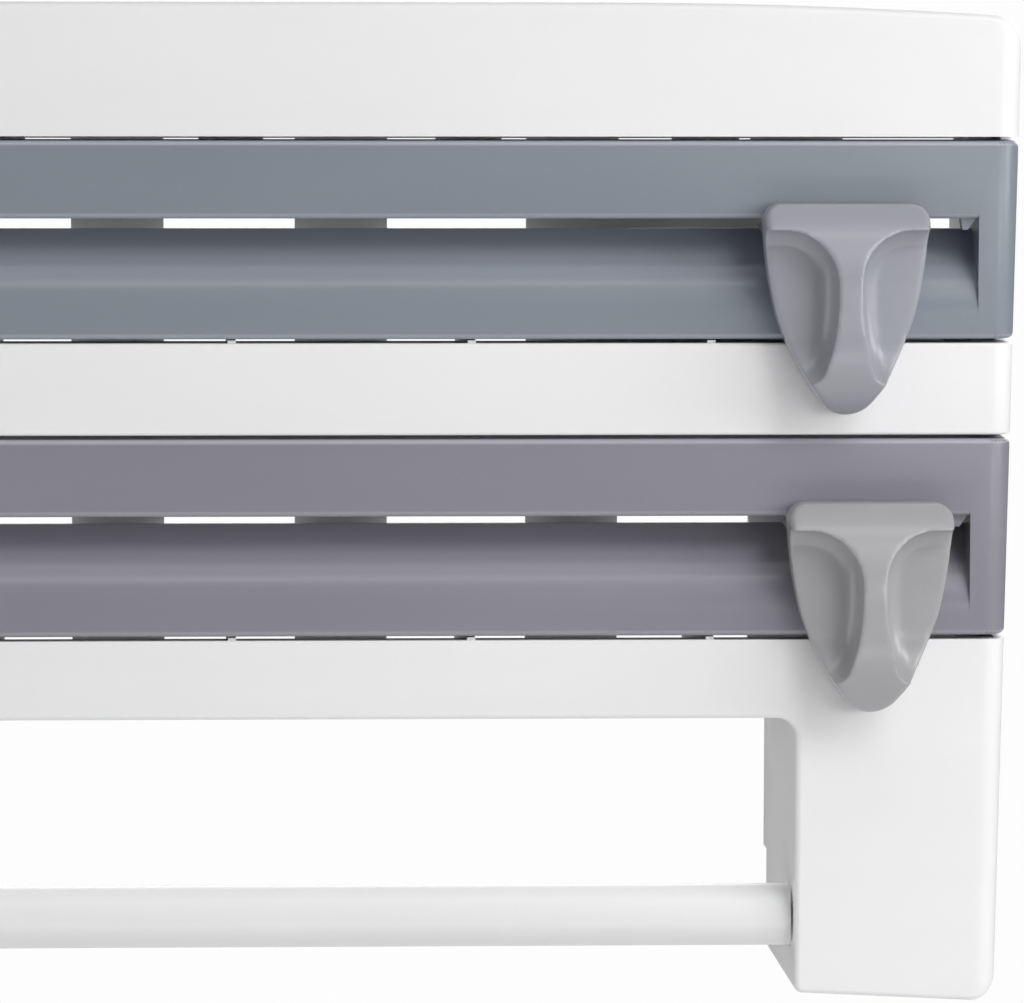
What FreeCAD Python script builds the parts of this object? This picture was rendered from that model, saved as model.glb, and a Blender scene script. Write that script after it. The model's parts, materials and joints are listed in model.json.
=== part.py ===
import FreeCAD, Part
import math
import os
import re

import Sketcher

# Wall-mounted dispenser for two rolls of kitchen wrap and one roll of paper towel.
# X runs to the right as one faces it, the front faces -Y, and Z is up, all in millimetres.
# The wall is the plane Y = 0. The origin is midway between the two keyholes, on that plane.

os.makedirs("parts", exist_ok=True)
doc = FreeCAD.newDocument("wrap_dispenser")
sheet = doc.addObject("Spreadsheet::Sheet", "Sizes")
V = FreeCAD.Vector
NODES = []
CELLS = set()


# Sizes that know their place in the sheet

class Size:
    """A length, with the sheet expression it comes from, so that a formula also binds the model."""

    def __init__(self, value, text):
        self.value = float(value)
        self.text = text

    def __add__(self, other):
        return Size(self.value + amount(other), f"({self.text} + {wording(other)})")

    def __radd__(self, other):
        return Size(amount(other) + self.value, f"({wording(other)} + {self.text})")

    def __sub__(self, other):
        return Size(self.value - amount(other), f"({self.text} - {wording(other)})")

    def __rsub__(self, other):
        return Size(amount(other) - self.value, f"({wording(other)} - {self.text})")

    def __mul__(self, other):
        return Size(self.value * amount(other), f"({self.text} * {wording(other)})")

    def __rmul__(self, other):
        return self * other

    def __truediv__(self, other):
        return Size(self.value / amount(other), f"({self.text} / {wording(other)})")

    def __neg__(self):
        return Size(-self.value, f"(0 - {self.text})")


def root(size):
    """The square root of a size."""
    return Size(math.sqrt(size.value), f"sqrt({size.text})")


def amount(size):
    return size.value if isinstance(size, Size) else float(size)


def wording(size):
    return size.text if isinstance(size, Size) else f"({float(size):.9g})"


def write_cell(name, content):
    """A named cell in the sheet."""
    row = len(CELLS) + 1
    sheet.set(f"A{row}", name)
    sheet.set(f"B{row}", content)
    sheet.setAlias(f"B{row}", name)
    CELLS.add(name)


def bound(size):
    """The expression of a size for use outside the sheet."""
    return re.sub(r"[a-z_]+", lambda word: "Sizes." + word.group() if word.group() in CELLS
                  else word.group(), size.text)


def bind(thing, prop, size):
    """Sets a property to a size, and ties it to the sheet when the size comes from there."""
    if isinstance(size, Size):
        thing.setExpression(prop, bound(size))


# Driving sizes, in millimetres
SIZES = {
    # Whole body
    "body_width": 389.2,  # width at the very top
    "foot_width": 379.4,  # width at the foot of the arms
    "body_depth": 78,  # from the wall to the front plane
    "crown": 66,  # top of the rack above the keyholes
    "shell_wall": 2.4,  # wall of the white mouldings
    "side_wall": 2.6,  # thickness of a side panel
    "back_wall": 2.4,  # thickness of the back panel
    "edge_round": 5.6,  # rounding of the upright front edges
    "fine_round": 0.8,  # rounding of the bands' long edges
    "shut_gap": 1,  # gap between neighbouring fronts
    "run_gap": 0.3,  # clearance of what slides
    # Heights of the fronts, from the top down
    "rack_rise": 32.8,  # height of the rack's front
    "rack_drop": 3.4,  # fall of the rack's top edge towards its ends
    "level_half": 92,  # half the length of the top edge that is level
    "crown_round": 8,  # upper corner of the rack, seen from the front
    "brim_round": 2,  # rounding of the rack's top front edge
    "front_rise": 48.7,  # height of a drawer's front
    "band_rise": 22.6,  # height of the band between the drawers
    "apron_rise": 19.6,  # height of the band under the lower drawer
    "arm_drop": 71.1,  # arms below the lower band
    # Drawer fronts
    "front_depth": 17,  # depth of a drawer's front moulding
    "front_wall": 2.2,  # wall of a drawer's front moulding
    "front_round": 1.6,  # rounding of a drawer front's long edges
    "end_block": 9.3,  # width of the block at each end of a drawer's mouth
    "bar_rise": 19.1,  # height of the bar above the mouth
    "slit_rise": 2.9,  # height of the slit that the wrap comes through
    "lip_rise": 5.6,  # flat foot of the front, below the scoop
    "lip_round": 14.5,  # curve that leads from the front plane into the scoop
    "scoop_depth": 14.8,  # depth of the scoop at the slit
    "scoop_rake": 0.97,  # how far the scoop's slope runs back for each millimetre that it climbs
    "mouth_round": 1.6,  # rounding along the lower edge of the bar
    "rail_rise": 5,  # height of the rail behind the bar
    # Drawer trays and their runners
    "tray_wall": 2,  # wall of a tray
    "tray_rise": 22,  # height of a tray's walls
    "tray_round": 4,  # rounding of the trough along the front
    "tray_sweep": 14,  # rounding of the trough along the back
    "tray_room": 5.6,  # space behind a tray
    "flange_rise": 20.7,  # underside of a tray's flanges above its foot
    "flange_wall": 2,  # thickness of a flange
    "flange_room": 0.6,  # space behind a flange
    "stop_rise": 1.7,  # height of the stops on flanges and runners
    "stop_length": 4,  # length of the stops on flanges
    "runner_rise": 3,  # height of a runner
    "drawer_travel": 62,  # how far a drawer pulls out to its stop
    "rib_pitch": 59,  # spacing of ribs, pads and windows
    "rib_wall": 2,  # thickness of the ribs under the trays
    "pad_width": 16,  # width of the pads above the upper drawer
    "pad_length": 9,  # length of those pads, front to back
    "pad_gap": 0.4,  # space between a pad and the drawer front's back
    "pad_drop": 1.6,  # how far a pad hangs below the rack's foot
    "web_rise": 10,  # height of the middle shelf above its band's foot
    "band_sill": 12,  # ledge along the top of the middle band, from the front plane back
    "apron_sill": 6,  # ledge along the top of the lower band
    # Back panel
    "mid_window": 33.8,  # width of the middle windows
    "near_window": 36,  # width of the windows beside the middle ones
    "far_window": 34.2,  # width of the windows at the keyholes
    "end_window": 35,  # width of the windows beside the side panels
    "window_bar": 23.8,  # panel left between two windows
    "window_rim": 1.9,  # panel left above the upper windows
    "window_sill": 1.6,  # panel left between the middle shelf and a window
    "short_window": 12,  # height of the windows above the keyholes
    "side_window": 41,  # height of the windows beside the side panels
    "low_window": 52,  # height of the lower windows
    "low_sill": 5,  # panel left below the lower windows
    "low_side_window": 34,  # height of the lower windows at the sides
    "keyhole_half": 118,  # half the distance between the keyholes
    "keyhole_radius": 4.5,  # round entry of a keyhole
    "keyslot_radius": 2.2,  # half the width of a keyhole's slot
    "keyslot_rise": 5,  # how far the slot climbs above the entry's centre
    # Screws and their bosses
    "screw_radius": 1.5,  # shank of a housing screw
    "screw_head": 2.8,  # radius of a housing screw's head
    "head_rise": 1.5,  # height of a screw's head
    "screw_length": 10,  # length of a housing screw's shank
    "boss_radius": 3.5,  # outside of a screw boss
    "boss_rise": 12,  # length of a screw boss
    "boss_inset": 3.2,  # boss's axis from the inner face of its wall
    "boss_front": 50,  # front bosses' distance from the wall
    "boss_back": 22,  # rear bosses' distance from the wall
    "screw_slack": 0.2,  # clearance round a shank in its plain hole
    "small_screw": 1.2,  # shank of the small screws
    "small_head": 2.4,  # radius of the small screws' heads
    "small_length": 6.6,  # length of the small screws' shanks
    "tray_boss": 15,  # length of the bosses that hold a tray
    "tray_pilot": 5,  # depth of the screw holes in them
    "tray_screw_rise": 9,  # tray screws above the drawer's foot
    "tray_screw_near": 60,  # inner tray screws from the middle
    "tray_screw_far": 150,  # outer tray screws from the middle
    "back_screw_above": 6.5,  # upper back screws above the middle shelf
    "back_screw_below": 10.6,  # lower back screws below the middle shelf
    "back_screw_low": 10.9,  # lowest back screws above the lower band's foot
    # Lower frame and arms
    "arm_width": 50.3,  # width of an arm at its foot
    "foot_rise": 2.5,  # rise of an arm's foot towards its inner face
    "foot_corner": 6.4,  # outer lower corner of an arm, seen from the front
    "toe_corner": 2,  # inner lower corner of an arm, seen from the front
    "arm_pit": 4.5,  # corner where an arm meets the lower band
    "arm_round": 3.4,  # rounding of an arm's inner front edge
    "sole_round": 1.4,  # rounding of the arms' foot edges
    "cover_wall": 1.6,  # thickness of an arm's inner cover
    "sole_wall": 4.4,  # bottom of an arm, above its lowest point
    "tongue_wall": 2.2,  # thickness of a side panel's lower tongue
    "tongue_rise": 8,  # how far the tongue climbs above the lower frame
    # Towel bar
    "bar_radius": 7.7,  # outside of the towel bar
    "bar_wall": 1.5,  # wall of the towel bar
    "bar_set": 12,  # bar's axis behind the front plane
    "bar_lift": 18,  # bar's axis above the arms' inner toes
    "bar_clear": 0.5,  # space between the bar's end and an arm
    "guide_depth": 0.8,  # depth of the guide in an arm's inner face
    "guide_clear": 0.4,  # space round the bar in that guide
    "pin_radius": 3,  # pins that the bar turns on
    "pin_clear": 0.1,  # clearance of a pin in its socket
    "pin_reach": 4.5,  # how far a pin stands out of the bar's end
    "socket_wall": 2.3,  # wall of a pin's socket
    "plug_length": 12,  # fixed plug inside the bar
    "cap_wall": 1.5,  # flange of the fixed plug
    "plunger_length": 20,  # sprung plunger inside the bar
    "plunger_clear": 0.1,  # clearance of the plunger in the bar
    "spring_length": 30,  # spring behind the plunger
    "spring_wire": 0.9,  # wire of that spring
    "spring_radius": 4.7,  # mean radius of the spring's turns
    "spring_turns": 8,  # turns of the spring
    "spring_slack": 0.1,  # space at each end of the spring
    "seat_wall": 3,  # disc that the spring pushes from
    # Cutters
    "upper_rest": 33.57,  # upper knob's rest from the right end of its mouth
    "lower_rest": 25.62,  # lower knob's rest from the right end of its mouth
    "knob_half": 20.2,  # half the width of a knob
    "knob_over": 3.9,  # knob's top above the underside of the bar
    "knob_drop": 44.4,  # start of the knob's tip below that underside
    "knob_tip": 6.3,  # half the width of the knob's tip
    "knob_tip_round": 7.6,  # rounding of the tip
    "knob_corner": 4.2,  # upper corners of a knob
    "knob_hip": 23.4,  # where the knob's sides start to close in
    "knob_hip_half": 17,  # half the knob's width there
    "knob_side_bow": 107,  # curve of the sides above that
    "knob_cheek_bow": 75,  # curve of the sides below that
    "knob_gap": 1,  # space between a knob and the front plane
    "knob_reach": 19,  # depth of a knob at its grip
    "knob_brow": 7,  # depth of a knob at its top edge
    "knob_face": 20,  # foot of the knob's curved face below the bar's underside
    "knob_chin": 26,  # start of the knob's rounded chin below that underside
    "knob_chin_fall": 23,  # how far the chin reaches down from there
    "knob_toe": 5,  # depth of the knob where its chin ends
    "knob_plate": 7,  # depth of the knob's plate beside its grip
    "grip_half": 3,  # half the thickness of the pinched grip
    "grip_sweep": 12.7,  # curve from the grip out to the knob's top
    "grip_top": 2.5,  # top of the finger hollows below the bar's underside
    "grip_waist": 3.8,  # straight part of the grip below that curve
    "grip_bow": 56,  # curve of the grip's lower part
    "grip_foot": 42,  # foot of the finger hollows below the bar's underside
    "grip_ramp": 15,  # how far above that foot the hollows start to rise forwards
    "grip_hollow": 4.6,  # rounding at the root of the grip
    "knob_edge": 1.5,  # rounding of the knob's front rim
    "stem_half": 18,  # half the length of a knob's stem
    "stem_drop": 4.5,  # foot of the stem below the bar's underside
    "stem_gap": 0.4,  # space above a stem
    "stem_reach": 10,  # back of the stem's thick part behind the front plane
    "tail_wall": 2.1,  # thickness of the stem's tail in the slit
    "shoe_half": 16,  # half the length of a cutter's shoe
    "shoe_depth": 6.2,  # depth of a shoe behind the rail
    "shoe_hook": 2.5,  # thickness of a shoe's hook
    "shoe_screw": 10,  # shoe screws from the knob's middle
    "blade_wall": 0.4,  # thickness of a blade
    "blade_half": 20.8,  # half the length of a blade's upper edge
    "blade_toe": 17,  # half the length of its lower edge
    "blade_set": 8,  # blade behind the front plane
    "blade_roof": 0.9,  # stem left above the blade's slot
    "blade_drop": 6.6,  # foot of the blade below the bar's underside
    "end_stop_inset": 4.2,  # inner side of an end stop from the end of the mouth
    "end_stop_width": 3.7,  # width of an end stop at its root
    "end_stop_lean": 0.4,  # how much its inner side leans in
    "end_stop_taper": 2,  # how much its outer side leans in
    "end_stop_rise": 2.8,  # height of an end stop
    "end_stop_set": 2,  # end stop behind the front plane
    "end_stop_depth": 4,  # end stop, front to back
}

class Named:
    """Every size by its name."""


S = Named()


def worked(name, size):
    """A size worked out from others: a formula in the sheet."""
    write_cell(name, "=" + size.text)
    setattr(S, name, Size(size.value, name))


for name, value in SIZES.items():
    write_cell(name, str(value))
    setattr(S, name, Size(value, name))

# Heights of the fronts, from the top down
worked("rack_foot", S.crown - S.rack_rise)
worked("upper_top", S.rack_foot - S.shut_gap)
worked("upper_foot", S.upper_top - S.front_rise)
worked("band_top", S.upper_foot - S.shut_gap)
worked("band_foot", S.band_top - S.band_rise)
worked("lower_top", S.band_foot - S.shut_gap)
worked("lower_foot", S.lower_top - S.front_rise)
worked("apron_top", S.lower_foot - S.shut_gap)
worked("apron_foot", S.apron_top - S.apron_rise)
worked("arm_foot", S.apron_foot - S.arm_drop)
worked("flare", (S.body_width - S.foot_width) / 2 / (S.crown - S.arm_foot))


def half_width(level):
    """Half the body's width at a height."""
    return S.body_width / 2 - (S.crown - level) * S.flare


# Places that several pieces share
ZERO = Size(0, "0")
worked("front_plane", -S.body_depth)
worked("moulding_back", S.front_plane + S.front_depth)
worked("panel_front", S.moulding_back + S.shut_gap)
worked("panel_face", -S.back_wall)
worked("web_foot", S.band_foot + S.web_rise)
worked("web_top", S.web_foot + S.shell_wall)
worked("floor_top", S.apron_foot + S.shell_wall)
worked("arm_inner", half_width(S.arm_foot) - S.arm_width)
worked("cover_back", S.arm_inner + S.cover_wall)
worked("bar_y", S.front_plane + S.bar_set)
worked("bar_z", S.arm_foot + S.foot_rise + S.bar_lift)
worked("tongue_face", half_width(S.apron_foot) - S.shell_wall - S.run_gap / 3)
RIBS = range(-2, 3)


# Sketches and mouldings

def origin_plane(body, role):
    return next(feature for feature in body.Origin.OriginFeatures if feature.Role == role)


def arc_centre(start, end, radius, turn):
    """Centre of the short arc of a radius between two points; turn is 1 to the left, -1 to the right."""
    chord = end - start
    height = math.sqrt(max(radius ** 2 - (chord.Length / 2) ** 2, 0))
    left = V(-chord.y, chord.x, 0).normalize()
    return (start + end) * 0.5 + left * (height * turn)


def pin_point(sketch, piece, end, u, v):
    """Fixes a point of a sketch at two sizes from the sketch's origin."""
    for kind, size in (("DistanceX", u), ("DistanceY", v)):
        index = sketch.addConstraint(Sketcher.Constraint(kind, -1, 1, piece, end, amount(size)))
        bind(sketch, f"Constraints[{index}]", size)


def fix_radius(sketch, piece, radius):
    index = sketch.addConstraint(Sketcher.Constraint("Radius", piece, amount(radius)))
    bind(sketch, f"Constraints[{index}]", radius)


def draw_outline(sketch, steps):
    """Draws a closed outline. A step is (u, v) after a line, or (u, v, radius, turn) after an arc."""
    points = [V(amount(step[0]), amount(step[1]), 0) for step in steps]
    pieces = []
    for number, step in enumerate(steps):
        start, end = points[number - 1], points[number]
        if len(step) == 2:
            index = sketch.addGeometry(Part.LineSegment(start, end), False)
            pieces.append((index, 1, 2))
            continue
        radius, turn = step[2:]
        centre = arc_centre(start, end, amount(radius), turn)
        first, last = (start, end) if turn > 0 else (end, start)
        angles = [math.atan2(point.y - centre.y, point.x - centre.x) for point in (first, last)]
        circle = Part.Circle(centre, V(0, 0, 1), amount(radius))
        index = sketch.addGeometry(Part.ArcOfCircle(circle, *angles), False)
        pieces.append((index, 1, 2) if turn > 0 else (index, 2, 1))
    for number, (index, _, end) in enumerate(pieces):
        following, start, _ = pieces[(number + 1) % len(pieces)]
        sketch.addConstraint(Sketcher.Constraint("Coincident", index, end, following, start))
        pin_point(sketch, index, end, *steps[number][:2])
        if len(steps[number]) == 4:
            fix_radius(sketch, index, steps[number][2])


def box_outline(left, right, low, high, corner=None):
    """A rectangle's steps, with its corners rounded if a radius is given."""
    if corner is None:
        return [(left, low), (right, low), (right, high), (left, high)]
    return [(left, low + corner), (left + corner, low, corner, 1),
            (right - corner, low), (right, low + corner, corner, 1),
            (right, high - corner), (right - corner, high, corner, 1),
            (left + corner, high), (left, high - corner, corner, 1)]


def arched_outline(left, right, low, high, corner=None):
    """A rectangle's steps, with only its two lower corners rounded."""
    return [(left, low + corner), (left + corner, low, corner, 1),
            (right - corner, low), (right, low + corner, corner, 1),
            (right, high), (left, high)]


class Moulding:
    """A PartDesign body built from outlines that are padded or cut along X, Y or Z."""

    def __init__(self, name):
        self.name = name
        self.body = doc.addObject("PartDesign::Body", name)
        self.count = 0

    def start_sketch(self, plane, low, high):
        """A sketch on one end of the stretch from low to high, from which it is padded."""
        self.count += 1
        sketch = self.body.newObject("Sketcher::SketchObject", f"{self.name}_outline_{self.count}")
        sketch.AttachmentSupport = [(origin_plane(self.body, plane + "_Plane"), "")]
        sketch.MapMode = "FlatFace"
        offset = -high if plane == "XZ" else low
        sketch.AttachmentOffset = FreeCAD.Placement(V(0, 0, amount(offset)), FreeCAD.Rotation())
        bind(sketch, "AttachmentOffset.Base.z", offset)
        return sketch

    def run(self, sketch, low, high, cut):
        """Pads or cuts a sketch from low to high, and makes sure that it changed the body."""
        before = 0 if self.count == 1 else self.body.Shape.Volume
        kind = "PartDesign::Pocket" if cut else "PartDesign::Pad"
        feature = self.body.newObject(kind, f"{self.name}_{'cut' if cut else 'pad'}_{self.count}")
        feature.Profile = sketch
        feature.Length = amount(high - low)
        bind(feature, "Length", high - low)
        if cut:
            feature.Reversed = True
        doc.recompute()
        change = self.body.Shape.Volume - before
        if (change > -1e-6 if cut else change < 1e-6):
            raise RuntimeError(f"{feature.Name} changed nothing")
        return feature

    def slab(self, plane, low, high, steps, cut=False):
        """An outline's solid between two places along the plane's own axis."""
        sketch = self.start_sketch(plane, low, high)
        draw_outline(sketch, steps)
        return self.run(sketch, low, high, cut)

    def rounds(self, plane, low, high, centres, radius, cut=False):
        """Round posts or holes between two places along the plane's own axis."""
        sketch = self.start_sketch(plane, low, high)
        for u, v in centres:
            circle = Part.Circle(V(amount(u), amount(v), 0), V(0, 0, 1), amount(radius))
            index = sketch.addGeometry(circle, False)
            pin_point(sketch, index, 3, u, v)
            fix_radius(sketch, index, radius)
        return self.run(sketch, low, high, cut)

    def dress(self, kind, prop, size, wanted):
        """A fillet or chamfer on the edges that a test picks."""
        tip = self.body.Tip
        names = [f"Edge{i}" for i, edge in enumerate(tip.Shape.Edges, 1) if wanted(edge)]
        if not names:
            raise RuntimeError(f"{self.name} has no edge to dress")
        self.count += 1
        feature = self.body.newObject(kind, f"{self.name}_dress_{self.count}")
        feature.Base = (tip, names)
        setattr(feature, prop, amount(size))
        bind(feature, prop, size)
        doc.recompute()
        if "Invalid" in feature.State or "Error" in feature.State:
            raise RuntimeError(f"{feature.Name} failed")

    def fillet(self, radius, wanted):
        self.dress("PartDesign::Fillet", "Radius", radius, wanted)

    def chamfer(self, size, wanted):
        self.dress("PartDesign::Chamfer", "Size", size, wanted)


# Picking edges

def near(value, size):
    return abs(value - amount(size)) < 1e-4


def lies_at(edge, x=None, y=None, z=None):
    """True if the whole edge lies at the given places. A side to side place counts on both sides."""
    box = edge.BoundBox
    if x is not None and not ((near(box.XMin, x) and near(box.XMax, x))
                              or (near(box.XMin, -x) and near(box.XMax, -x))):
        return False
    if y is not None and not (near(box.YMin, y) and near(box.YMax, y)):
        return False
    return z is None or (near(box.ZMin, z) and near(box.ZMax, z))


def upright_front(edge, rise, y=S.front_plane):
    """True for the upright edges at the front plane, one at each side of the body."""
    box = edge.BoundBox
    return lies_at(edge, y=y) and box.ZLength > 0.8 * amount(rise) and box.XLength < box.ZLength / 2


def end_radii(edge, at_foot, at_head):
    """The rounding at an edge's first and last end, from what its lower and upper end take."""
    rising = edge.Vertexes[0].Z < edge.Vertexes[-1].Z
    return (at_foot.value, at_head.value) if rising else (at_head.value, at_foot.value)


def outer_rim(edge, level):
    """True for the front and side edges at a height."""
    return lies_at(edge, z=level) and edge.BoundBox.YMin < -1


# Part booleans on whole solids

def keep(thing, label=None):
    """Marks an object as one of the part's pieces."""
    if label is not None:
        thing.Label = label
    NODES.append(thing)
    return thing


def less(name, base, tools):
    result = doc.addObject("Part::Cut", name)
    result.Base = base
    result.Tool = joined(name + "_tools", tools) if len(tools) > 1 else tools[0]
    return result


def joined(name, pieces):
    result = doc.addObject("Part::MultiFuse", name)
    result.Shapes = pieces
    return result


def shared(name, first, second):
    result = doc.addObject("Part::Common", name)
    result.Base = first
    result.Tool = second
    return result


def block(name, x_range, y_range, z_range):
    """A plain box between two places along each axis."""
    result = doc.addObject("Part::Box", name)
    for axis, prop, (low, high) in zip("xyz", ("Length", "Width", "Height"),
                                       (x_range, y_range, z_range)):
        setattr(result, prop, amount(high - low))
        bind(result, prop, high - low)
        setattr(result.Placement.Base, axis, amount(low))
    place(result, [low for low, _ in (x_range, y_range, z_range)])
    return result


def place(thing, spot, rotation=None):
    thing.Placement = FreeCAD.Placement(V(*[amount(size) for size in spot]),
                                        rotation or FreeCAD.Rotation())
    for axis, size in zip("xyz", spot):
        bind(thing, f"Placement.Base.{axis}", size)


def rod(name, start, along, length, radius):
    """A cylinder from a spot, along a direction."""
    result = doc.addObject("Part::Cylinder", name)
    for prop, size in (("Radius", radius), ("Height", length)):
        setattr(result, prop, amount(size))
        bind(result, prop, size)
    place(result, start, FreeCAD.Rotation(V(0, 0, 1), V(*along)))
    return result


def screw(name, under_head, along, shank, length, head):
    """A pan head screw, driven along a direction, with a cross in its head."""
    backwards = [-step for step in along]
    parts = [rod(name + "_shank", under_head, along, length, shank),
             rod(name + "_head", under_head, backwards, S.head_rise, head)]
    solid = joined(name + "_blank", parts)
    crosses = []
    reach, breadth, depth = head * 1.1, head * 0.3, S.head_rise * 0.6
    for turn in range(2):
        spans = []
        sideways = 0
        for step, spot in zip(backwards, under_head):
            if step:
                outer = spot + S.head_rise * step * 1.2
                inner = spot + (S.head_rise - depth) * step
                spans.append((inner, outer) if step > 0 else (outer, inner))
                continue
            arm = (reach, breadth)[(sideways + turn) % 2] / 2
            spans.append((spot - arm, spot + arm))
            sideways += 1
        crosses.append(block(f"{name}_cross_{turn}", *spans))
    return less(name, solid, crosses)


def screw_group(name, under_heads, along, shank=S.screw_radius, length=S.screw_length, head=S.screw_head):
    """Several screws of one kind, as one piece of separate solids."""
    group = doc.addObject("Part::Compound", name)
    group.Links = [screw(f"{name}_{number}", spot, along, shank, length, head)
                   for number, spot in enumerate(under_heads, 1)]
    return keep(group)


# Top rack

def boss_x(level):
    """Axis of a boss on the inner face of a side panel."""
    return half_width(level) - S.side_wall - S.boss_inset


def rack_screw_spots():
    return [(side * boss_x(S.rack_foot), -distance, S.rack_foot + S.shell_wall)
            for side in (-1, 1) for distance in (S.boss_front, S.boss_back)]


def make_top_rack():
    """An open tray for jars, with a front that is arched towards its ends."""
    foot = half_width(S.rack_foot)
    shoulder = S.crown - S.rack_drop
    corner = half_width(shoulder)
    reach = corner - S.level_half
    bow = (reach * reach + S.rack_drop * S.rack_drop) / (S.rack_drop * 2)
    shell = Moulding("rack_shell")
    shell.slab("XZ", S.front_plane, ZERO, [
        (-foot, S.rack_foot), (foot, S.rack_foot), (corner, shoulder), (S.level_half, S.crown, bow, 1),
        (-S.level_half, S.crown), (-corner, shoulder, bow, 1)])
    shell.fillet(S.crown_round, lambda edge: lies_at(edge, x=corner, z=shoulder))
    edges = []
    for index, edge in enumerate(shell.body.Shape.Edges, 1):
        box = edge.BoundBox
        if not lies_at(edge, y=S.front_plane) or lies_at(edge, z=S.rack_foot):
            continue
        if box.XLength < box.ZLength / 2 and box.ZLength > S.crown_round.value:
            edges.append((index, S.edge_round.value, S.edge_round.value))
        elif box.XLength < 2 * S.crown_round.value:
            edges.append((index, *end_radii(edge, S.edge_round, S.brim_round)))
        else:
            edges.append((index, S.brim_round.value, S.brim_round.value))
    rounded = doc.addObject("Part::Fillet", "rack_rounded")
    rounded.Base = shell.body
    rounded.Edges = edges
    hollow = Moulding("rack_hollow")
    floor = S.rack_foot + S.shell_wall
    inner_low = half_width(floor) - S.shell_wall
    inner_high = half_width(S.crown) - S.shell_wall
    over = S.crown + S.rack_drop
    hollow.slab("XZ", S.front_plane + S.shell_wall, -S.shell_wall, [
        (-inner_low, floor), (inner_low, floor), (inner_high, over), (-inner_high, over)])
    hollow.fillet(S.edge_round - S.shell_wall,
                  lambda edge: upright_front(edge, S.rack_rise - S.shell_wall, S.front_plane + S.shell_wall))
    holes = [rod(f"rack_hole_{number}", (x, y, S.rack_foot - 1), (0, 0, 1), S.shell_wall + 2,
                 S.screw_radius + S.screw_slack)
             for number, (x, y, _) in enumerate(rack_screw_spots(), 1)]
    tray = less("rack_tray", rounded, [hollow.body] + holes)
    pads = [block(f"rack_pad_{number}",
                  (S.rib_pitch * number - S.pad_width / 2, S.rib_pitch * number + S.pad_width / 2),
                  (S.moulding_back + S.pad_gap, S.moulding_back + S.pad_gap + S.pad_length),
                  (S.rack_foot - S.pad_drop, S.rack_foot + 1)) for number in RIBS]
    keep(joined("top_rack", [tray] + pads))
    screw_group("rack_screws", rack_screw_spots(), (0, 0, -1))


# Back panel

def back_screw_spots():
    """Centres of the screws through the back panel, on both sides."""
    levels = [S.web_top + S.back_screw_above, S.web_foot - S.back_screw_below]
    spots = [(side * boss_x(level), level) for level in levels for side in (-1, 1)]
    low = S.apron_foot + S.back_screw_low
    inset = half_width(low) - S.shell_wall - S.boss_inset
    return spots + [(-inset, low), (inset, low)]


def window_spans():
    """Left and right edge of the window in each column, from the middle outwards."""
    spans = [(S.mid_window / -2, S.mid_window / 2)]
    for width in (S.near_window, S.far_window, S.end_window):
        start = spans[-1][1] + S.window_bar
        spans.append((start, start + width))
    return spans


def make_back_panel():
    """The plate against the wall: windows in two rows, and two keyholes to hang it by."""
    panel = Moulding("back_panel")
    low, high = half_width(S.floor_top) - S.side_wall, half_width(S.rack_foot) - S.side_wall
    panel.slab("XZ", S.panel_face, ZERO, [
        (-low, S.floor_top), (low, S.floor_top), (high, S.rack_foot), (-high, S.rack_foot)])
    window_top = S.rack_foot - S.window_rim
    window_foot = S.web_top + S.window_sill
    low_foot = S.floor_top + S.low_sill
    tall = [(window_foot, window_top), (low_foot, low_foot + S.low_window)]
    short = [(window_top - S.short_window, window_top), (low_foot, low_foot + S.low_window)]
    ends = [(window_top - S.side_window, window_top),
            (low_foot + S.low_window - S.low_side_window, low_foot + S.low_window)]
    for column, ((left, right), rows) in enumerate(zip(window_spans(), (tall, tall, short, ends))):
        for foot, top in rows:
            outlines = [box_outline(left, right, foot, top)]
            if column:
                outlines.append(box_outline(-right, -left, foot, top))
            for outline in outlines:
                panel.slab("XZ", S.panel_face - 1, ZERO + 1, outline, cut=True)
    sides = [(-S.keyhole_half, ZERO), (S.keyhole_half, ZERO)]
    panel.rounds("XZ", S.panel_face - 1, ZERO + 1, sides, S.keyhole_radius, cut=True)
    panel.rounds("XZ", S.panel_face - 1, ZERO + 1, [(x, z + S.keyslot_rise) for x, z in sides],
                 S.keyslot_radius, cut=True)
    for middle, level in sides:
        panel.slab("XZ", S.panel_face - 1, ZERO + 1, box_outline(
            middle - S.keyslot_radius, middle + S.keyslot_radius, level, level + S.keyslot_rise), cut=True)
    spots = back_screw_spots()
    panel.rounds("XZ", S.panel_face - 1, ZERO + 1, spots, S.screw_radius + S.screw_slack, cut=True)
    panel.rounds("XZ", -S.head_rise, ZERO + 1, spots, S.screw_head + S.screw_slack, cut=True)
    keep(panel.body)
    screw_group("back_panel_screws", [(x, -S.head_rise, z) for x, z in spots], (0, -1, 0))


# Side panels

def runner_levels():
    """Underside of the runners for both drawers."""
    return [foot + S.flange_rise + S.flange_wall + S.stop_rise + S.run_gap
            for foot in (S.upper_foot, S.lower_foot)]


def mouth_half(foot):
    """Half the width of a drawer's mouth."""
    return half_width(foot) - S.end_block


def runner_inner(foot):
    return mouth_half(foot) + S.front_wall + S.run_gap


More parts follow.
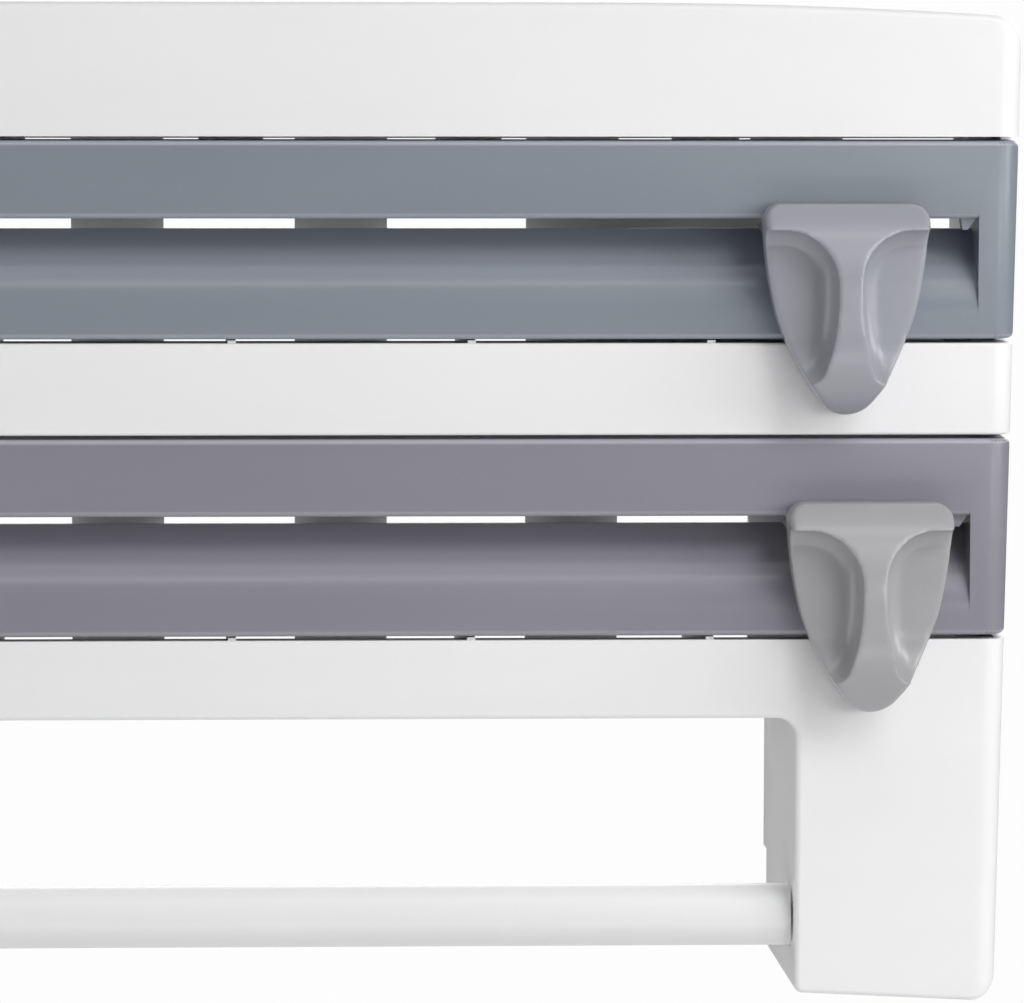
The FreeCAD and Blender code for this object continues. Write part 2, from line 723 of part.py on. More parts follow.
def make_side_panel(side, name):
    """A plate with a runner for each drawer, bosses, and a tongue into the lower frame."""
    panel = Moulding(name)

    def plate_outline(low_x, high_x, low_z, high_z):
        return box_outline(*((low_x, high_x) if side > 0 else (-high_x, -low_x)), low_z, high_z)

    low, high = half_width(S.apron_top), half_width(S.rack_foot)
    corners = [(low - S.side_wall, S.apron_top), (low, S.apron_top),
               (high, S.rack_foot), (high - S.side_wall, S.rack_foot)]
    panel.slab("XZ", S.panel_front, ZERO, [(side * x, z) for x, z in corners])
    for foot, level in zip((S.upper_foot, S.lower_foot), runner_levels()):
        top = level + S.runner_rise
        inner = runner_inner(foot)
        root = half_width(level) - S.side_wall / 2
        nose = half_width(foot) - S.side_wall - S.run_gap
        nose_front = S.front_plane + S.front_wall + S.run_gap * 2
        catch = S.panel_face - S.flange_room - S.stop_length - S.drawer_travel - S.run_gap
        panel.slab("XZ", S.panel_front, S.panel_face - 1.6, plate_outline(inner, root, level, top))
        panel.slab("XZ", nose_front, S.panel_front + 2, plate_outline(inner, nose, level, top))
        panel.slab("XZ", nose_front, catch, plate_outline(inner, nose, level - S.stop_rise, level + 1))
    web_x, top_x = boss_x(S.band_foot), boss_x(S.rack_foot)
    upright = [(side * top_x, -S.boss_front), (side * top_x, -S.boss_back)]
    panel.rounds("XY", S.rack_foot - S.boss_rise, S.rack_foot, upright, S.boss_radius)
    panel.rounds("XY", S.rack_foot - S.boss_rise + 1, S.rack_foot, upright, S.screw_radius, cut=True)
    shelf = [(side * web_x, -S.boss_front), (side * web_x, -S.boss_back)]
    panel.rounds("XY", S.web_foot - S.boss_rise, S.web_foot, shelf, S.boss_radius)
    panel.rounds("XY", S.web_foot - S.boss_rise + 1, S.web_foot, shelf, S.screw_radius, cut=True)
    across = [(x, z) for x, z in back_screw_spots()[:4] if x.value * side > 0]
    panel.rounds("XZ", S.panel_face - S.boss_rise, S.panel_face, across, S.boss_radius)
    panel.rounds("XZ", S.panel_face - S.boss_rise + 1, S.panel_face, across, S.screw_radius, cut=True)
    tongue = S.tongue_face - S.tongue_wall
    ends = (-S.boss_front - S.boss_radius, -S.boss_back + S.boss_radius)
    panel.slab("XZ", *ends, plate_outline(
        tongue, half_width(S.apron_top) - S.side_wall / 2, S.apron_top, S.apron_top + S.tongue_rise))
    panel.slab("XZ", *ends, plate_outline(tongue, S.tongue_face, S.floor_top, S.apron_top + 1))
    legs = [(side * leg_x(), -S.boss_front), (side * leg_x(), -S.boss_back)]
    panel.rounds("XY", S.floor_top, S.floor_top + S.boss_rise, legs, S.boss_radius)
    panel.rounds("XY", S.floor_top, S.floor_top + S.boss_rise - 1, legs, S.screw_radius, cut=True)
    keep(panel.body)


def leg_x():
    """Axis of the bosses on a side panel's tongue."""
    return S.tongue_face - S.boss_radius


# Middle band with its shelf

def make_mid_band():
    """The white band between the drawers, and the shelf that the upper tray slides on."""
    band = Moulding("mid_band")
    low, high = half_width(S.band_foot), half_width(S.band_top)
    band.slab("XZ", S.front_plane, S.panel_front, [
        (-low, S.band_foot), (low, S.band_foot), (high, S.band_top), (-high, S.band_top)])
    band.fillet(S.edge_round, lambda edge: upright_front(edge, S.band_rise))
    band.fillet(S.fine_round, lambda edge: (outer_rim(edge, S.band_foot) or outer_rim(edge, S.band_top))
                and not lies_at(edge, y=S.panel_front))
    inner = low - S.shell_wall
    behind = S.front_plane + S.shell_wall
    band.slab("XZ", behind, S.panel_front + 1,
              box_outline(-inner, inner, S.band_foot - 1, S.band_top + 1), cut=True)
    web_half = low - S.side_wall - 0.2
    band.slab("XZ", behind - 1, S.panel_face, box_outline(-web_half, web_half, S.web_foot, S.web_top))
    add_sill(band, web_half, S.band_top, S.band_sill)
    for column in RIBS:
        add_rib(band, column, S.web_top - 1, S.upper_foot - S.run_gap)
    spots = [(side * boss_x(S.band_foot), -distance) for side in (-1, 1)
             for distance in (S.boss_front, S.boss_back)]
    band.rounds("XY", S.web_foot - 1, S.web_top + 1, spots, S.screw_radius + S.screw_slack, cut=True)
    keep(band.body)
    screw_group("band_screws", [(x, y, S.web_top) for x, y in spots], (0, 0, -1))


def add_sill(moulding, half, level, depth):
    """A ledge behind the front wall's top edge, which closes the view through the gap above it."""
    moulding.slab("XZ", S.front_plane + S.shell_wall - 1, S.front_plane + depth,
                  box_outline(-half, half, level - S.shell_wall, level))


def add_rib(moulding, column, low, high):
    """An upright rib, front to back, that carries a tray."""
    middle = S.rib_pitch * column
    moulding.slab("XZ", S.front_plane + S.shell_wall - 1, S.panel_face - S.tray_room, box_outline(
        middle - S.rib_wall / 2, middle + S.rib_wall / 2, low, high))


# Lower frame and the arms' inner covers

def make_lower_shape():
    """The outside of the lower band and both arms, as one rounded solid."""
    shape = Moulding("lower_shape")
    top, foot = half_width(S.apron_top), half_width(S.arm_foot)
    toe = S.arm_foot + S.foot_rise
    shape.slab("XZ", S.front_plane, ZERO, [
        (-top, S.apron_top), (-foot, S.arm_foot), (-S.arm_inner, toe), (-S.arm_inner, S.apron_foot),
        (S.arm_inner, S.apron_foot), (S.arm_inner, toe), (foot, S.arm_foot), (top, S.apron_top)])
    shape.fillet(S.foot_corner, lambda edge: lies_at(edge, x=foot, z=S.arm_foot))
    shape.fillet(S.toe_corner, lambda edge: lies_at(edge, x=S.arm_inner, z=toe))
    shape.fillet(S.arm_pit, lambda edge: lies_at(edge, x=S.arm_inner, z=S.apron_foot))
    edges = []
    for index, edge in enumerate(shape.body.Shape.Edges, 1):
        if lies_at(edge, y=S.front_plane) and not lies_at(edge, z=S.apron_top):
            edges.append((index, *lower_radii(edge)))
    rounded = doc.addObject("Part::Fillet", "lower_rounded")
    rounded.Base = shape.body
    rounded.Edges = edges
    return rounded


def lower_radii(edge):
    """Rounding at the two ends of an edge of the lower frame's front outline."""
    box = edge.BoundBox
    outside = max(abs(box.XMin), abs(box.XMax)) > half_width(S.arm_foot).value - S.foot_corner.value
    if outside and box.ZLength > 30:
        return S.edge_round.value, S.edge_round.value
    if outside and box.ZLength > 0.5 * S.foot_corner.value:
        return end_radii(edge, S.sole_round, S.edge_round)
    return S.sole_round.value, S.sole_round.value


def make_lower_frame(rounded):
    """The lower band with the lower bay's floor, and the shells of both arms."""
    behind = S.front_plane + S.shell_wall
    bay = Moulding("lower_bay")
    low, high = half_width(S.floor_top) - S.shell_wall, half_width(S.apron_top) - S.shell_wall
    bay.slab("XZ", behind, ZERO + 1, [
        (-low, S.floor_top), (low, S.floor_top), (high, S.apron_top), (high, S.apron_top + 1),
        (-high, S.apron_top + 1), (-high, S.apron_top)])
    bay.fillet(S.edge_round - S.shell_wall,
               lambda edge: upright_front(edge, S.apron_rise - S.shell_wall, behind))
    hollows = [bay.body]
    sole = S.arm_foot + S.sole_wall
    for side, word in ((-1, "left"), (1, "right")):
        arm = Moulding(f"{word}_arm_hollow")
        outer_low, outer_high = half_width(sole) - S.shell_wall, half_width(S.apron_foot) - S.shell_wall
        arm.slab("XZ", behind, ZERO + 1, [
            (side * S.cover_back, sole), (side * outer_low, sole),
            (side * outer_high, S.apron_foot), (side * S.cover_back, S.apron_foot)])
        arm.fillet(S.edge_round - S.shell_wall, lambda edge: upright_front(edge, S.apron_foot - sole, behind)
                   and abs(edge.BoundBox.XMax) > S.cover_back.value + 1
                   and abs(edge.BoundBox.XMin) > S.cover_back.value + 1)
        hollows += [arm.body, cover_space(side, f"{word}_cover_space")]
    spots = [(side * leg_x(), -distance) for side in (-1, 1) for distance in (S.boss_front, S.boss_back)]
    hollows += [rod(f"leg_hole_{number}", (x, y, S.apron_foot - 1), (0, 0, 1), S.shell_wall + 2,
                    S.screw_radius + S.screw_slack) for number, (x, y) in enumerate(spots, 1)]
    shell = less("lower_shell", rounded, hollows)
    ribs = Moulding("lower_ribs")
    ribs.body.AllowCompound = True
    add_sill(ribs, half_width(S.floor_top) - S.side_wall - 0.2, S.apron_top, S.apron_sill)
    for column in RIBS:
        add_rib(ribs, column, S.floor_top - 1, S.lower_foot - S.run_gap)
    bosses, pilots = [], []
    for number, (x, z) in enumerate(back_screw_spots()[4:], 1):
        bosses.append(rod(f"low_boss_{number}", (x, S.panel_face, z), (0, -1, 0), S.boss_rise, S.boss_radius))
        pilots.append(rod(f"low_pilot_{number}", (x, S.panel_face + 1, z), (0, -1, 0), S.boss_rise,
                          S.screw_radius))
    keep(less("lower_frame", joined("lower_whole", [shell, ribs.body] + bosses), pilots))
    screw_group("frame_screws", [(x, y, S.apron_foot) for x, y in spots], (0, 0, 1))


def cover_space(side, name):
    """The slice of an arm that its inner cover fills."""
    across = (S.arm_inner - 1, S.cover_back) if side > 0 else (-S.cover_back, 1 - S.arm_inner)
    return block(name, across, (S.front_plane - 1, ZERO + 1), (S.arm_foot - 1, S.apron_foot))


def make_arm_cover(rounded, side, word):
    """The inner face of an arm, with the guide and the socket that the towel bar sits in."""
    name = f"{word}_arm_cover"
    plate = shared(f"{name}_plate", rounded, cover_space(side, f"{name}_slice"))
    guide = Moulding(f"{name}_guide")
    reach = S.bar_radius + S.guide_clear
    inner = (S.arm_inner - 1, S.arm_inner + S.guide_depth) if side > 0 else (
        -S.arm_inner - S.guide_depth, 1 - S.arm_inner)
    guide.slab("YZ", *inner, [
        (S.bar_y, S.bar_z - reach), (ZERO + 1, S.bar_z - reach),
        (ZERO + 1, S.bar_z + reach), (S.bar_y, S.bar_z + reach)])
    guide.rounds("YZ", *inner, [(S.bar_y, S.bar_z)], reach)
    socket_end = S.cover_back + S.pin_reach
    cup = rod(f"{name}_cup", (side * (S.cover_back - 0.2), S.bar_y, S.bar_z), (side, 0, 0),
              S.pin_reach + 0.2, S.pin_radius + S.pin_clear + S.socket_wall)
    bore = rod(f"{name}_bore", (side * (S.arm_inner - 1), S.bar_y, S.bar_z), (side, 0, 0),
               socket_end - S.arm_inner - 0.2, S.pin_radius + S.pin_clear)
    body = joined(f"{name}_body", [plate, cup])
    keep(less(name, body, [guide.body, bore]))


# Towel bar

def make_towel_bar():
    """A hollow bar on a fixed plug at one end and a sprung plunger at the other."""
    along = (1, 0, 0)
    end = S.arm_inner - S.bar_clear
    bore = S.bar_radius - S.bar_wall

    def on_axis(x):
        return (x, S.bar_y, S.bar_z)

    outside = rod("bar_outside", on_axis(-end), along, end * 2 - S.cap_wall, S.bar_radius)
    inside = rod("bar_inside", on_axis(-end + S.bar_wall), along, end * 2, bore)
    mouth = rod("bar_mouth", on_axis(-end - 1), along, S.bar_wall + 2, S.pin_radius + S.pin_clear)
    keep(less("bar_tube", outside, [inside, mouth]))
    plug = [rod("plug_core", on_axis(end - S.cap_wall - S.plug_length), along, S.plug_length, bore),
            rod("plug_cap", on_axis(end - S.cap_wall), along, S.cap_wall, S.bar_radius),
            rod("plug_pin", on_axis(end), along, S.pin_reach, S.pin_radius)]
    keep(joined("bar_end_plug", plug))
    plunger = [rod("plunger_core", on_axis(-end + S.bar_wall), along, S.plunger_length,
                   bore - S.plunger_clear),
               rod("plunger_pin", on_axis(-end - S.pin_reach), along, S.pin_reach + S.bar_wall + 1,
                   S.pin_radius)]
    keep(joined("bar_plunger", plunger))
    seat = -end + S.bar_wall + S.plunger_length + S.spring_length
    keep(rod("bar_spring_seat", on_axis(seat), along, S.seat_wall, bore))
    keep(make_spring(on_axis(seat - S.spring_length)))


def make_spring(start):
    """A coil spring along X, as one wire on quarter turns, from the plunger to its seat."""
    radius, wire, turns = S.spring_radius.value, S.spring_wire.value, round(S.spring_turns.value)
    climb = (S.spring_length.value - wire - S.spring_slack.value * 2) / turns

    def wire_at(turn):
        angle = turn * 2 * math.pi
        return V(radius * math.cos(angle), radius * math.sin(angle), climb * turn)

    quarters = [Part.Arc(*[wire_at((step + share) / 4) for share in (0, 0.5, 1)]).toShape()
                for step in range(turns * 4)]
    first = quarters[0]
    low = first.FirstParameter
    section = Part.Wire(Part.makeCircle(wire / 2, first.valueAt(low), first.tangentAt(low)))
    spring = doc.addObject("Part::Feature", "bar_spring")
    spring.Shape = Part.Wire(quarters).makePipeShell([section], True, False)
    shift = V(*[amount(size) for size in start]) + V(wire / 2 + S.spring_slack.value, 0, 0)
    spring.Placement = FreeCAD.Placement(shift, FreeCAD.Rotation(V(0, 0, 1), V(1, 0, 0)))
    return spring


# Drawers

def slope_points(lip, wall):
    """Top and foot of the scoop's slope, or of the same slope a wall's thickness behind it."""
    slant = root(S.scoop_rake * S.scoop_rake + 1)
    curve = S.lip_round - wall
    foot_y = S.front_plane + S.lip_round - curve / slant
    foot_z = lip + curve * S.scoop_rake / slant
    top_y = S.front_plane + S.scoop_depth + wall
    return [(top_y, foot_z + (top_y - foot_y) / S.scoop_rake), (foot_y, foot_z)]


def make_drawer_front(word, top, foot):
    """The grey front: a bar, the slit under it, a scoop, and a block at each end."""
    front = Moulding(f"{word}_drawer_front")
    low, high = half_width(foot), half_width(top)
    mouth = mouth_half(foot)
    bar_foot = top - S.bar_rise
    rim = bar_foot - S.slit_rise
    lip = foot + S.lip_rise
    scoop_y = S.front_plane + S.scoop_depth
    inside = S.front_plane + S.front_wall
    beyond = S.moulding_back + 1
    front.slab("XZ", S.front_plane, S.moulding_back, [
        (-low, foot), (low, foot), (high, top), (-high, top)])
    front.fillet(S.edge_round, lambda edge: upright_front(edge, S.front_rise))
    front.fillet(S.front_round, lambda edge: (outer_rim(edge, foot) or outer_rim(edge, top))
                 and not lies_at(edge, y=S.moulding_back))
    slope = slope_points(lip, ZERO)
    front.slab("YZ", -mouth, mouth, [
        (S.front_plane - 1, bar_foot), (beyond, bar_foot), (beyond, rim), (scoop_y, rim),
        *slope, (S.front_plane, lip, S.lip_round, 1), (S.front_plane - 1, lip)], cut=True)
    front.fillet(S.mouth_round, lambda edge: lies_at(edge, y=S.front_plane, z=bar_foot))
    rail_top = bar_foot + S.front_wall + S.rail_rise
    front.slab("YZ", -mouth, mouth, [
        (inside, bar_foot + S.front_wall), (S.moulding_back - S.front_wall, bar_foot + S.front_wall),
        (S.moulding_back - S.front_wall, rail_top), (beyond, rail_top),
        (beyond, top - S.front_wall), (inside, top - S.front_wall)], cut=True)
    slope = slope_points(lip, S.front_wall)
    front.slab("YZ", -mouth, mouth, [
        (inside, foot + S.front_wall), (beyond, foot + S.front_wall), (beyond, slope[0][1]),
        *slope, (inside, lip, S.lip_round - S.front_wall, 1)], cut=True)
    for side in (-1, 1):
        inner = mouth + S.front_wall
        outer_low, outer_high = low - S.front_wall, high - S.front_wall
        front.slab("XZ", inside, beyond, [
            (side * inner, foot + S.front_wall), (side * outer_low, foot + S.front_wall),
            (side * outer_high, top - S.front_wall), (side * inner, top - S.front_wall)], cut=True)
        root_in = mouth - S.end_stop_inset
        root_out = root_in + S.end_stop_width
        front.slab("XZ", S.front_plane + S.end_stop_set, S.front_plane + S.end_stop_set + S.end_stop_depth, [
            (side * (root_in + S.end_stop_lean), bar_foot - S.end_stop_rise),
            (side * (root_out - S.end_stop_taper), bar_foot - S.end_stop_rise),
            (side * root_out, bar_foot), (side * root_out, bar_foot + 1),
            (side * root_in, bar_foot + 1), (side * root_in, bar_foot)])
    spots = tray_screw_spots(foot)
    front.rounds("XZ", S.moulding_back - S.tray_boss, S.moulding_back, spots, S.boss_radius - 0.5)
    front.rounds("XZ", S.moulding_back - S.tray_pilot, S.moulding_back, spots, S.small_screw, cut=True)
    keep(front.body)


def tray_screw_spots(foot):
    return [(side * x, foot + S.tray_screw_rise) for side in (-1, 1)
            for x in (S.tray_screw_near, S.tray_screw_far)]


def make_drawer_tray(word, foot):
    """The trough that the roll lies in, with a flange along each side under the runners."""
    tray = Moulding(f"{word}_drawer_tray")
    outside = runner_inner(foot) - S.run_gap
    rear = S.panel_face - S.tray_room
    ahead = S.moulding_back
    top = foot + S.tray_rise
    tray.slab("YZ", -outside, outside, box_outline(ahead, rear, foot, top))
    tray.slab("YZ", -outside + S.tray_wall, outside - S.tray_wall, [
        (ahead + S.tray_wall, foot + S.tray_wall + S.tray_round),
        (ahead + S.tray_wall + S.tray_round, foot + S.tray_wall, S.tray_round, 1),
        (rear - S.tray_wall - S.tray_sweep, foot + S.tray_wall),
        (rear - S.tray_wall, foot + S.tray_wall + S.tray_sweep, S.tray_sweep, 1),
        (rear - S.tray_wall, top + 1), (ahead + S.tray_wall, top + 1)], cut=True)
    level = foot + S.flange_rise
    inner = outside - S.tray_wall / 2
    outer = half_width(foot) - S.side_wall - S.run_gap - 0.1
    end = S.panel_face - S.flange_room
    for side in (-1, 1):
        def across(low, high):
            return box_outline(*((inner, outer) if side > 0 else (-outer, -inner)), low, high)

        tray.slab("XZ", ahead + 2, end, across(level, level + S.flange_wall))
        tray.slab("XZ", end - S.stop_length, end, across(level + 1, level + S.flange_wall + S.stop_rise))
    spots = tray_screw_spots(foot)
    tray.rounds("XZ", ahead - 1, ahead + S.tray_wall + 1, spots, S.small_screw + S.screw_slack, cut=True)
    keep(tray.body)
    screw_group(f"{word}_tray_screws", [(x, ahead + S.tray_wall, z) for x, z in spots], (0, -1, 0),
                S.small_screw, S.small_length, S.small_head)


# Cutters

def sweep_radius(run, fall):
    """Radius of an arc that starts upright and gets as far across and down as given."""
    return (run * run + fall * fall) / (run * 2)


def rims_front(edge, face, back):
    """True for the edges between a knob's sides and its front."""
    box = edge.BoundBox
    return box.YMax < back.value - 1 and not (near(box.YMax, face) and box.ZLength < 0.01)


def borders_floor(edge, floor, outer, shoulder_z):
    """True for the edges between a finger hollow's floor, or its ramp, and the grip beside it."""
    box = edge.BoundBox
    if not near(box.YMax, floor):
        return False
    if near(box.XMin, outer) or near(box.XMax, outer):
        return near(box.YMin, floor) and box.ZLength < 0.01 and edge.CenterOfMass.z > shoulder_z
    return box.ZLength > 0.01


def make_knob(word, middle, top):
    """The grey shield that is pinched and slid along, and its stem through the slit."""
    knob = Moulding(f"{word}_knob_solid")
    level = top - S.bar_rise
    back = S.front_plane - S.knob_gap
    face = back - S.knob_reach
    brow = level + S.knob_over
    hip = level - S.knob_hip
    tip = level - S.knob_drop
    far = level - S.knob_drop - S.knob_tip_round

    def mirrored(x):
        return middle - (x - middle)

    right, left = middle + S.knob_half, middle - S.knob_half
    knob.slab("XZ", face, back, [
        (left + S.knob_corner, brow),
        (left, brow - S.knob_corner, S.knob_corner, 1),
        (middle - S.knob_hip_half, hip, S.knob_side_bow, 1),
        (middle - S.knob_tip, tip, S.knob_cheek_bow, 1),
        (middle + S.knob_tip, tip, S.knob_tip_round, 1),
        (middle + S.knob_hip_half, hip, S.knob_cheek_bow, 1),
        (right, brow - S.knob_corner, S.knob_side_bow, 1),
        (right - S.knob_corner, brow, S.knob_corner, 1)])
    sides = (middle - S.knob_half - 1, middle + S.knob_half + 1)
    knob.slab("YZ", *sides, [
        (back - S.knob_brow, brow + 1), (face - 1, brow + 1), (face - 1, level - S.knob_face),
        (face, level - S.knob_face),
        (back - S.knob_brow, brow, sweep_radius(S.knob_reach - S.knob_brow, S.knob_over + S.knob_face), -1)],
        cut=True)
    chin_foot = level - S.knob_chin - S.knob_chin_fall
    knob.slab("YZ", *sides, [
        (face - 1, level - S.knob_chin), (face - 1, far), (back - S.knob_toe, far),
        (back - S.knob_toe, chin_foot),
        (face, level - S.knob_chin, sweep_radius(S.knob_reach - S.knob_toe, S.knob_chin_fall), -1)],
        cut=True)
    knob.fillet(S.knob_edge, lambda edge: rims_front(edge, face, back))
    bend = level - S.grip_top - S.grip_sweep
    shoulder = S.grip_half + S.grip_sweep
    low_z = level - S.grip_foot
    bow_fall = bend - S.grip_waist - low_z
    low_x = S.grip_half + S.grip_bow - root(S.grip_bow * S.grip_bow - bow_fall * bow_fall)
    floor = back - S.knob_plate
    hollows = []
    for side, hand in ((-1, "left"), (1, "right")):
        hollow = Moulding(f"{word}_knob_{hand}_hollow")
        outer = middle + side * (S.knob_half + S.grip_hollow + 2)
        hollow.slab("XZ", face - 1, floor, [
            (outer, level - S.grip_top), (middle + side * shoulder, level - S.grip_top),
            (middle + side * S.grip_half, bend, S.grip_sweep, side),
            (middle + side * S.grip_half, bend - S.grip_waist),
            (middle + side * low_x, low_z, S.grip_bow, side), (outer, low_z)])
        hollow.slab("YZ", *((middle, outer) if side > 0 else (outer, middle)), [
            (floor, low_z + S.grip_ramp),
            (face - 1, low_z, sweep_radius(floor - face + 1, S.grip_ramp), -1),
            (face - 1, low_z - 1), (floor + 1, low_z - 1), (floor + 1, low_z + S.grip_ramp)], cut=True)
        hollow.fillet(S.grip_hollow, lambda edge: borders_floor(edge, floor, outer, bend.value))
        hollows.append(hollow.body)
    stem_top = level - S.stem_gap
    stem_back = S.front_plane + S.stem_reach
    tail_back = S.moulding_back + S.run_gap + S.shoe_depth
    knob.slab("YZ", middle - S.stem_half, middle + S.stem_half, [
        (back - 1, level - S.stem_drop), (stem_back, level - S.stem_drop),
        (stem_back, stem_top - S.tail_wall), (tail_back, stem_top - S.tail_wall),
        (tail_back, stem_top), (back - 1, stem_top)])
    blade_y = S.front_plane + S.blade_set
    knob.slab("YZ", middle - S.stem_half, middle + S.stem_half, box_outline(
        blade_y - S.blade_wall / 2, blade_y + S.blade_wall / 2,
        level - S.blade_drop, stem_top - S.blade_roof), cut=True)
    spots = [(middle + side * S.shoe_screw, tail_back - S.shoe_depth / 2) for side in (-1, 1)]
    knob.rounds("XY", stem_top - S.tail_wall - 1, stem_top + 1, spots,
                S.small_screw + S.screw_slack, cut=True)
    keep(less(f"{word}_cutter_knob", knob.body, hollows))
    make_blade(word, middle, level - S.blade_drop, stem_top - S.blade_roof, blade_y)
    make_shoe(word, middle, level, stem_top, tail_back, spots)
    screw_group(f"{word}_cutter_screws", [(x, y, stem_top - S.tail_wall) for x, y in spots], (0, 0, 1),
                S.small_screw, S.small_length, S.small_head)


def make_blade(word, middle, foot, top, blade_y):
    """A thin steel plate with a slanted cutting edge at each end."""
    blade = Moulding(f"{word}_cutter_blade")
    blade.slab("XZ", blade_y - S.blade_wall / 2, blade_y + S.blade_wall / 2, [
        (middle - S.blade_toe, foot), (middle + S.blade_toe, foot),
        (middle + S.blade_half, top), (middle - S.blade_half, top)])
    keep(blade.body)


def make_shoe(word, middle, level, stem_top, tail_back, spots):
    """The runner behind the bar that hooks over its rail and carries the stem."""
    shoe = Moulding(f"{word}_cutter_shoe")
    rail_top = level + S.front_wall + S.rail_rise
    rail_back = S.moulding_back + S.run_gap
    rail_front = S.moulding_back - S.front_wall - S.run_gap
    top = rail_top + S.run_gap + S.shoe_hook
    shoe.slab("YZ", middle - S.shoe_half, middle + S.shoe_half, [
        (rail_back, stem_top), (tail_back, stem_top), (tail_back, top),
        (rail_front - S.shoe_hook, top), (rail_front - S.shoe_hook, level + S.front_wall + S.run_gap),
        (rail_front, level + S.front_wall + S.run_gap), (rail_front, rail_top + S.run_gap),
        (rail_back, rail_top + S.run_gap)])
    shoe.rounds("XY", stem_top, stem_top + S.small_length - S.tail_wall + 0.5, spots, S.small_screw, cut=True)
    keep(shoe.body)


# The whole dispenser
make_top_rack()
make_back_panel()
make_side_panel(-1, "left_side_panel")
make_side_panel(1, "right_side_panel")
make_mid_band()
lower_shape = make_lower_shape()
make_lower_frame(lower_shape)
make_arm_cover(lower_shape, -1, "left")
make_arm_cover(lower_shape, 1, "right")
make_towel_bar()
for word, top, foot, rest in (("upper", S.upper_top, S.upper_foot, S.upper_rest),
                              ("lower", S.lower_top, S.lower_foot, S.lower_rest)):
    make_drawer_front(word, top, foot)
    make_drawer_tray(word, foot)
    make_knob(word, mouth_half(foot) - rest, top)
doc.recompute()

for thing in doc.Objects:
    if "Invalid" in thing.State or "Error" in thing.State:
        raise RuntimeError(f"{thing.Name} failed: {thing.State}")
for node in NODES:
    if node.Shape.isNull() or not node.Shape.isValid():
        raise RuntimeError(f"{node.Label} has no valid shape")
for node in NODES:
    node.Shape.exportStep(f"parts/{node.Label}.step")
    print(f"{node.Label}: {len(node.Shape.Solids)} solid, {node.Shape.Volume:.0f} cubic millimetres")
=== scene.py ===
import json
import math

import bmesh
import bpy
from mathutils import Matrix, Vector


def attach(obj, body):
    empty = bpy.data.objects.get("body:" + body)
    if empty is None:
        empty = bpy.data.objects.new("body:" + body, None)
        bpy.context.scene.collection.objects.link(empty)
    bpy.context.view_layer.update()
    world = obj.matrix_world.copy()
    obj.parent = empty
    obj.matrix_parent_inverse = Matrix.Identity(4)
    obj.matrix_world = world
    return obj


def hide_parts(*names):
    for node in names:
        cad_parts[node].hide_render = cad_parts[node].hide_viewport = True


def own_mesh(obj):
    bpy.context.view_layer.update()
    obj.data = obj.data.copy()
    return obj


# Looks of a wall-mounted wrap dispenser: a white housing, two grey drawer fronts with a sliding
# cutter each, and a bar for paper towel. Metres, +X to the right, the front faces -Y, +Z up.

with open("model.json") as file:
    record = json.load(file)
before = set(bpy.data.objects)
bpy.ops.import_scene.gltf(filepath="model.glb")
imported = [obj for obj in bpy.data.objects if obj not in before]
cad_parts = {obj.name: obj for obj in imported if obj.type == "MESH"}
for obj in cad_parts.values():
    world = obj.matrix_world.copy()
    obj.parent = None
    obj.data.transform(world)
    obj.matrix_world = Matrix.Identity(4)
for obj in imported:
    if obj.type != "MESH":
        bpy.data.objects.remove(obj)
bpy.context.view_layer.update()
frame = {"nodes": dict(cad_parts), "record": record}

# Copied meshes, in metres and radians
MERGE_ROOM = 0.000002  # corners closer than this become one
SLIVER = 0.000001  # edges shorter than this are dissolved
SHARP_TURN = math.radians(32)  # edges that turn less are shaded smooth
STRIP_WIDTH = 0.00035  # widest strip that a small rounding is made of
STRIP_TURNS = (0.04, 0.4)  # least and greatest turn from one such strip to the next
KNOB_VOXEL = 0.00042  # cell of a knob's even mesh
KNOB_ROUNDS = 9  # how often a knob's mesh is smoothed
KNOB_SHARE = 0.5  # how far each corner moves in one round, as a share

# Plastics
PLASTIC_IOR = 1.5
PLASTIC_SPECULAR = 0.5
SHEEN_ROUGHNESS = 0.22  # of the faint coat over the greys
SPECK_SHARE = 0.35  # strength of small specks beside the flow marks
HAIR_ALONG = (24.0, 1100.0, 1100.0)  # scratches run along X
HAIR_AMOUNT = 0.5
HAIR_DEPTH = 0.00001  # metres
HAIR_STRENGTH = 0.6

# Steel
LINE_SHADE = 0.7  # colour in a drawn line against the colour beside it
LINE_ROUGHNESS = 0.15  # how much rougher a drawn line is
LINE_DEPTH = 0.00002  # metres

# Stage, in metres
LIGHT_FROM_ALL_ROUND = 0.17
BACKDROP = (0.985, 0.985, 0.985, 1.0)
FLOOR_LEVEL = -0.6
FLOOR_HALF = 1.5  # half of the floor's side
FLOOR_PAINT = (0.86, 0.86, 0.86, 1.0)
FLOOR_ROUGHNESS = 0.7
FLOOR_SEEN = (0.93, 0.93, 0.93, 1.0)
FLOOR_SEEN_SHARE = 0.6  # how much of what is seen of the floor is that pale tone

# Camera, its lens and sensor in millimetres
LENS = 201.4
SENSOR = 36.0
SHIFT = 0.1  # sideways, as a share of the picture's width
CAMERA_SPOT = (-0.0113, -1.4802, 0.0606)
PITCH, YAW, ROLL = math.radians(4.765), math.radians(2.245), math.radians(0.075)


# Node helpers

def add_node(tree, kind, **values):
    """A node with its properties set."""
    node = tree.nodes.new(kind)
    for name, value in values.items():
        setattr(node, name, value)
    return node


def feed(tree, socket, value):
    """Links an input to a socket, or sets it to a constant."""
    if isinstance(value, bpy.types.NodeSocket):
        tree.links.new(value, socket)
    else:
        socket.default_value = value


